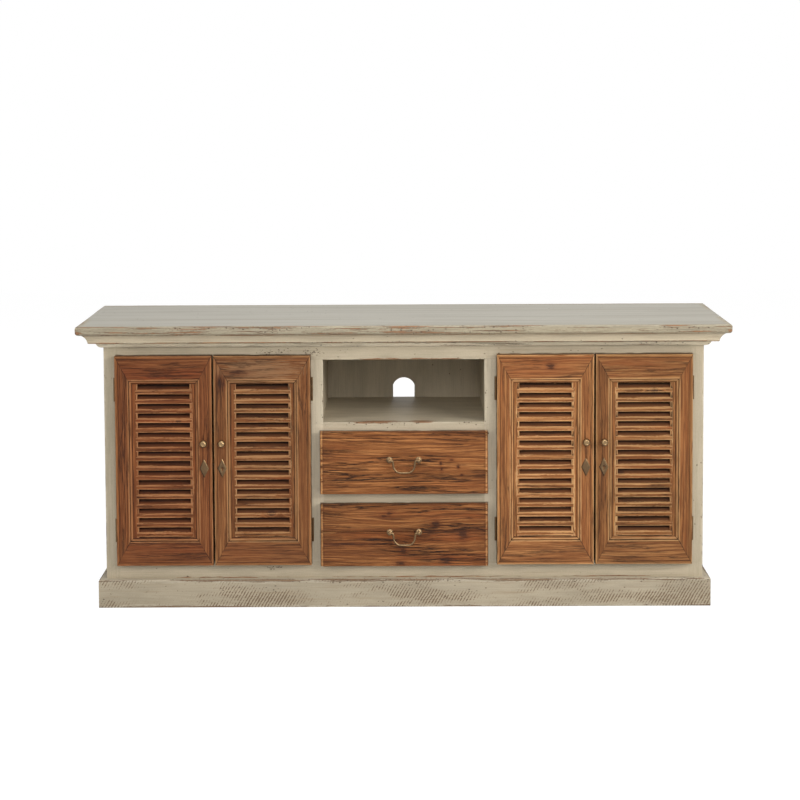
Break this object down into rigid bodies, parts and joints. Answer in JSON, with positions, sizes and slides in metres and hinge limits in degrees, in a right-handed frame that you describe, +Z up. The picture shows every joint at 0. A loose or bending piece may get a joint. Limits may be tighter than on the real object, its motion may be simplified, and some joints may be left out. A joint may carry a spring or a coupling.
{
  "type": "tv stand",
  "caption": "Low painted sideboard for a television, with louvred pine doors, drawers on bail pulls, an open niche with a cable outlet and a moulded cornice top.",
  "frame": {"origin": "on the floor under the middle of the top board, the centre of the bottom of the whole object's box", "axes": "+X to the right along the front, +Y from the front to the back, +Z up"},
  "size_m": [1.8, 0.45, 0.796],
  "materials": {
    "distressed_paint": "chalky cream paint over wood, rubbed through on the arrises",
    "reclaimed_pine": "weathered pine with an old stain and a dull wax",
    "plain_pine": "bare planed pine",
    "antique_brass": "darkened brass, brighter where it is handled",
    "catch_plastic": "brown moulded plastic"
  },
  "bodies": {
    "case": {"top_board": "distressed_paint", "cornice_cove": "distressed_paint", "cornice_bed_mould": "distressed_paint", "plinth_front": "distressed_paint", "plinth_sides": "distressed_paint", "plinth_inner_rails": "plain_pine", "side_panel_left": "distressed_paint", "side_panel_right": "distressed_paint", "bottom_board": "plain_pine", "partition_left": "distressed_paint", "partition_right": "distressed_paint", "niche_shelf": "distressed_paint", "back_panels": "distressed_paint", "outer_stiles": "distressed_paint", "inner_stiles": "distressed_paint", "frieze_rail": "distressed_paint", "niche_rail": "distressed_paint", "drawer_rail": "distressed_paint", "bottom_rail": "distressed_paint", "side_shelves": "plain_pine", "shelf_cleats": "plain_pine", "hinge_frame_leaves": "antique_brass", "door_catches": "catch_plastic", "drawer_runners": "plain_pine"},
    "door_1": {"door_1_left_stile": "reclaimed_pine", "door_1_right_stile": "reclaimed_pine", "door_1_top_rail": "reclaimed_pine", "door_1_bottom_rail": "reclaimed_pine", "door_1_louvre_strips": "reclaimed_pine", "door_1_slats": "reclaimed_pine", "door_1_hardware": "antique_brass"},
    "door_2": {"door_2_left_stile": "reclaimed_pine", "door_2_right_stile": "reclaimed_pine", "door_2_top_rail": "reclaimed_pine", "door_2_bottom_rail": "reclaimed_pine", "door_2_louvre_strips": "reclaimed_pine", "door_2_slats": "reclaimed_pine", "door_2_hardware": "antique_brass"},
    "door_3": {"door_3_left_stile": "reclaimed_pine", "door_3_right_stile": "reclaimed_pine", "door_3_top_rail": "reclaimed_pine", "door_3_bottom_rail": "reclaimed_pine", "door_3_louvre_strips": "reclaimed_pine", "door_3_slats": "reclaimed_pine", "door_3_hardware": "antique_brass"},
    "door_4": {"door_4_left_stile": "reclaimed_pine", "door_4_right_stile": "reclaimed_pine", "door_4_top_rail": "reclaimed_pine", "door_4_bottom_rail": "reclaimed_pine", "door_4_louvre_strips": "reclaimed_pine", "door_4_slats": "reclaimed_pine", "door_4_hardware": "antique_brass"},
    "lower_drawer": {"lower_drawer_front": "reclaimed_pine", "lower_drawer_box": "plain_pine", "lower_drawer_pull_posts": "antique_brass"},
    "lower_drawer_bail": {"lower_drawer_bail": "antique_brass"},
    "upper_drawer": {"upper_drawer_front": "reclaimed_pine", "upper_drawer_box": "plain_pine", "upper_drawer_pull_posts": "antique_brass"},
    "upper_drawer_bail": {"upper_drawer_bail": "antique_brass"}
  },
  "joints": [
    {"name": "door_1_hinge", "type": "hinge", "parent": "case", "child": "door_1", "pos_m": [-0.8038, -0.16225, 0.41375], "axis": [0, 0, -1], "range_deg": [0, 105]},
    {"name": "door_2_hinge", "type": "hinge", "parent": "case", "child": "door_2", "pos_m": [-0.2552, -0.16225, 0.41375], "axis": [0, 0, 1], "range_deg": [0, 90]},
    {"name": "door_3_hinge", "type": "hinge", "parent": "case", "child": "door_3", "pos_m": [0.2552, -0.16225, 0.41375], "axis": [0, 0, -1], "range_deg": [0, 90]},
    {"name": "door_4_hinge", "type": "hinge", "parent": "case", "child": "door_4", "pos_m": [0.8038, -0.16225, 0.41375], "axis": [0, 0, 1], "range_deg": [0, 105]},
    {"name": "lower_drawer_slide", "type": "slide", "parent": "case", "child": "lower_drawer", "axis": [0, -1, 0], "range_m": [0, 0.275]},
    {"name": "upper_drawer_slide", "type": "slide", "parent": "case", "child": "upper_drawer", "axis": [0, -1, 0], "range_m": [0, 0.275]},
    {"name": "lower_drawer_bail_swing", "type": "hinge", "parent": "lower_drawer", "child": "lower_drawer_bail", "pos_m": [0, -0.194, 0.2115], "axis": [-1, 0, 0], "range_deg": [-15, 195]},
    {"name": "upper_drawer_bail_swing", "type": "hinge", "parent": "upper_drawer", "child": "upper_drawer_bail", "pos_m": [0, -0.194, 0.4149], "axis": [-1, 0, 0], "range_deg": [-15, 195]}
  ]
}
